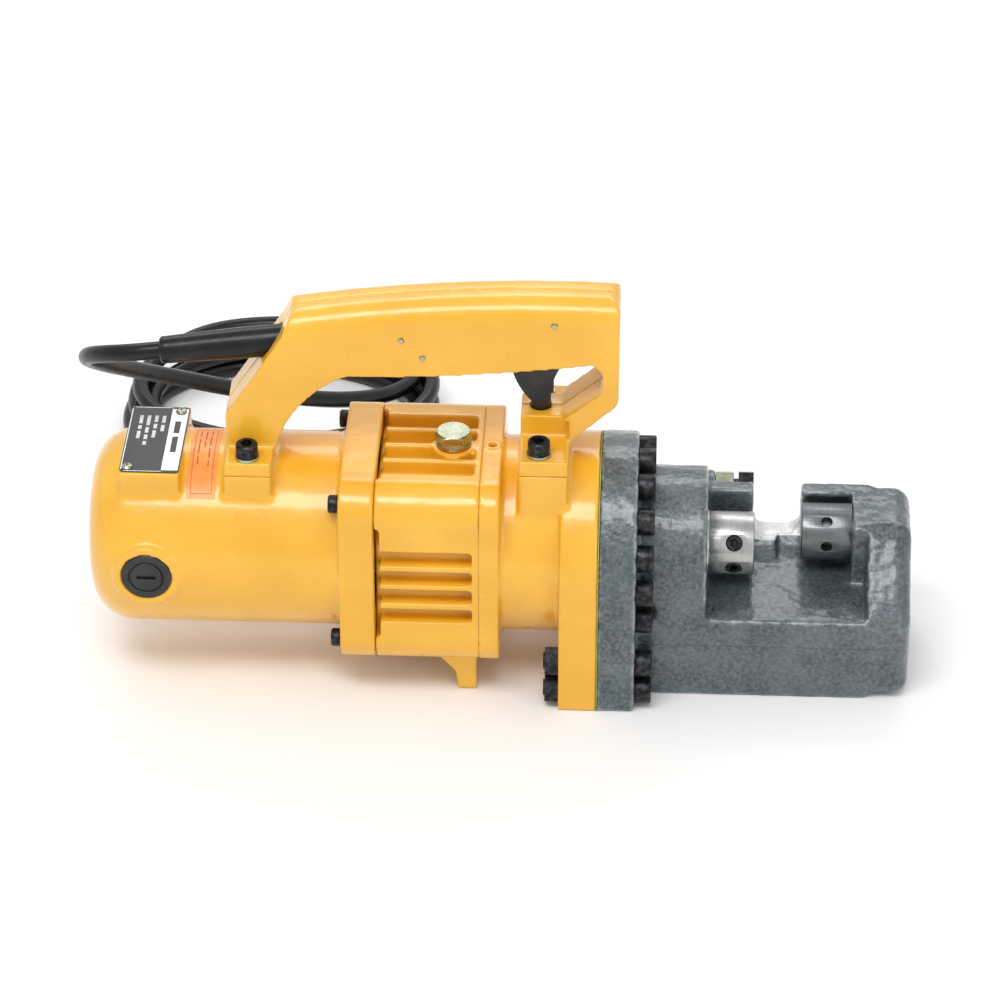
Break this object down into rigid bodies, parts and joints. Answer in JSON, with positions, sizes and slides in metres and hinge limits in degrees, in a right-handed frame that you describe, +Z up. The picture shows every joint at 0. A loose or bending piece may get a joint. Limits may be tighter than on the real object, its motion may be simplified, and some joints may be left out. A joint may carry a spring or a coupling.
{
  "type": "portable rebar cutter",
  "caption": "Portable electro-hydraulic rebar cutter: motor, finned pump housing, carrying handle with trigger, cast U-shaped cutter head with a sliding ram cutter, and mains cord.",
  "frame": {"origin": "on the floor plane, directly below the middle of the gap between the two cutters", "axes": "+X along the tool from the motor to the cutter nose, +Z up, so +Y is the tool's left side"},
  "size_m": [0.503, 0.3985, 0.2504],
  "materials": {
    "yellow_paint": "gloss yellow-orange enamel over cast aluminium",
    "cast_steel": "grey semi-gloss paint over a rough steel casting",
    "bright_steel": "turned and ground steel",
    "ground_steel": "hardened tool steel, dark satin",
    "black_oxide": "black oxide, oiled",
    "zinc_plate": "zinc plated with a slight green-gold tint",
    "laminations": "stacked steel sheets, varnished",
    "copper": "enamelled copper",
    "brass": "turned brass",
    "carbon": "pressed carbon",
    "spring_steel": "oil-tempered spring wire",
    "bare_aluminium": "machined aluminium",
    "label_metal": "anodised plate, black field with a silver strip",
    "sticker": "orange vinyl with plain printed lines",
    "gasket": "green-yellow sheet gasket",
    "black_plastic": "moulded black plastic",
    "black_rubber": "smooth black rubber"
  },
  "bodies": {
    "tool": {"motor_cover": "yellow_paint", "stator_core": "laminations", "field_coils": "copper", "brush_holders": "brass", "carbon_brushes": "carbon", "brush_springs": "spring_steel", "brush_caps": "black_plastic", "bearing_plate": "bare_aluminium", "bearing_outer_rings": "bright_steel", "pump_block": "bare_aluminium", "check_valves": "brass", "oil_bladder": "black_rubber", "pump_housing": "yellow_paint", "cylinder_housing": "yellow_paint", "head_gasket": "gasket", "cutter_head": "cast_steel", "rod_seal": "black_rubber", "fixed_cutter": "ground_steel", "stop_nut": "zinc_plate", "head_bolts": "black_oxide", "flange_nuts": "black_oxide", "cover_screws": "black_oxide", "handle_screws": "black_oxide", "handle_washers": "zinc_plate", "oil_plug_washer": "copper", "oil_plug": "zinc_plate", "label_plate": "label_metal", "label_screws": "zinc_plate", "info_sticker": "sticker", "handle_right": "yellow_paint", "handle_left": "yellow_paint", "handle_pins": "zinc_plate", "switch_body": "black_plastic", "cable_boot": "black_rubber", "cord_run": "black_rubber", "cord_tail": "black_rubber", "cord_coil": "black_rubber", "plug_body": "black_rubber", "plug_pins": "brass", "plunger_spring": "spring_steel", "return_spring": "spring_steel", "trigger_spring": "spring_steel"},
    "armature": {"armature_shaft": "bright_steel", "armature_core": "laminations", "armature_windings": "copper", "commutator": "copper", "fan": "black_plastic", "motor_bearing_inner_rings": "bright_steel"},
    "crank": {"eccentric_shaft": "bright_steel", "drive_gear": "bright_steel", "eccentric_roller": "bright_steel", "crank_bearing_inner_ring": "bright_steel"},
    "plunger": {"pump_plunger": "bright_steel"},
    "ram": {"ram": "bright_steel", "piston_seal": "black_rubber", "movable_cutter": "bright_steel", "movable_cutter_screws": "black_oxide"},
    "trigger": {"trigger": "black_plastic"},
    "switch_plunger": {"switch_plunger": "black_plastic"},
    "stop_bolt": {"stop_bolt": "black_oxide"}
  },
  "joints": [
    {"name": "armature_spin", "type": "hinge", "parent": "tool", "child": "armature", "pos_m": [-0.3, 0, 0.083], "axis": [1, 0, 0], "continuous": true},
    {"name": "crank_spin", "type": "hinge", "parent": "tool", "child": "crank", "pos_m": [-0.23, 0, 0.0579], "axis": [1, 0, 0], "continuous": true},
    {"name": "plunger_slide", "type": "slide", "parent": "tool", "child": "plunger", "axis": [0, 0, 1], "range_m": [0, 0.003], "stiffness_N_per_m": 800, "deforming": ["plunger_spring"]},
    {"name": "ram_slide", "type": "slide", "parent": "tool", "child": "ram", "axis": [1, 0, 0], "range_m": [0, 0.027], "stiffness_N_per_m": 3000, "springref_m": -0.005, "deforming": ["return_spring"]},
    {"name": "trigger_slide", "type": "slide", "parent": "tool", "child": "trigger", "axis": [0, 0, 1], "range_m": [0, 0.006], "stiffness_N_per_m": 800, "springref_m": -0.001, "deforming": ["trigger_spring"]},
    {"name": "switch_plunger_slide", "type": "slide", "parent": "tool", "child": "switch_plunger", "axis": [0, 0, 1], "range_m": [0, 0.006]},
    {"name": "stop_bolt_slide", "type": "slide", "parent": "tool", "child": "stop_bolt", "axis": [1, 0, 0], "range_m": [-0.0015, 0.012]}
  ],
  "couplings": [
    {"joint": "crank_spin", "follows": "armature_spin", "ratio": -0.25},
    {"joint": "switch_plunger_slide", "follows": "trigger_slide", "ratio": 1}
  ]
}
